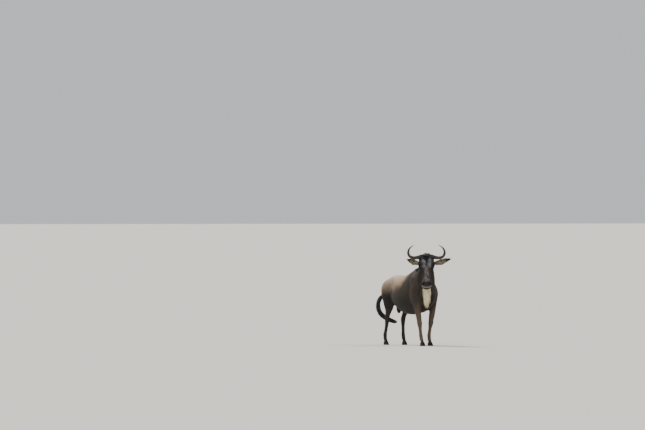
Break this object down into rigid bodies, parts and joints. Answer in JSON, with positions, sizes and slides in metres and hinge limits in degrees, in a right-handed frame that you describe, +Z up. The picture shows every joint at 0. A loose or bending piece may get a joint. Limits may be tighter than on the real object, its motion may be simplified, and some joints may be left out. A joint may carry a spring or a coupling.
{
  "type": "white-bearded wildebeest, still life-size model",
  "caption": "Life-size still model of a standing wildebeest, head turned to its right, with hooked horns, black mane and tail and a pale beard.",
  "frame": {"origin": "centre of the bounding box's footprint, on the floor", "axes": "+Z up, the animal's body faces -Y, its left side is +X"},
  "size_m": [0.6348, 1.7154, 1.5849],
  "materials": {
    "hide": "short matt grey-brown coat",
    "face": "short black coat with a soft sheen",
    "mane": "long coarse black hair",
    "beard": "long coarse cream hair",
    "horn": "dark grey horn, worn smooth",
    "eye": "wet and glossy",
    "hoof": "dark worn hoof"
  },
  "bodies": {
    "root": {"head": "face", "neck": "hide", "torso": "hide", "tail_dock": "hide", "tail_switch_upper": "mane", "tail_switch_lower": "mane", "foreleg_left": "hide", "foreleg_right": "hide", "hindleg_left": "hide", "hindleg_right": "hide", "horn_left": "horn", "horn_right": "horn", "ear_left": "hide", "ear_right": "hide", "eye_left": "eye", "eye_right": "eye", "hoof_fore_left_left_claw": "hoof", "hoof_fore_left_right_claw": "hoof", "hoof_fore_right_left_claw": "hoof", "hoof_fore_right_right_claw": "hoof", "hoof_hind_left_left_claw": "hoof", "hoof_hind_left_right_claw": "hoof", "hoof_hind_right_left_claw": "hoof", "hoof_hind_right_right_claw": "hoof", "scrotum": "hide"}
  },
  "joints": []
}
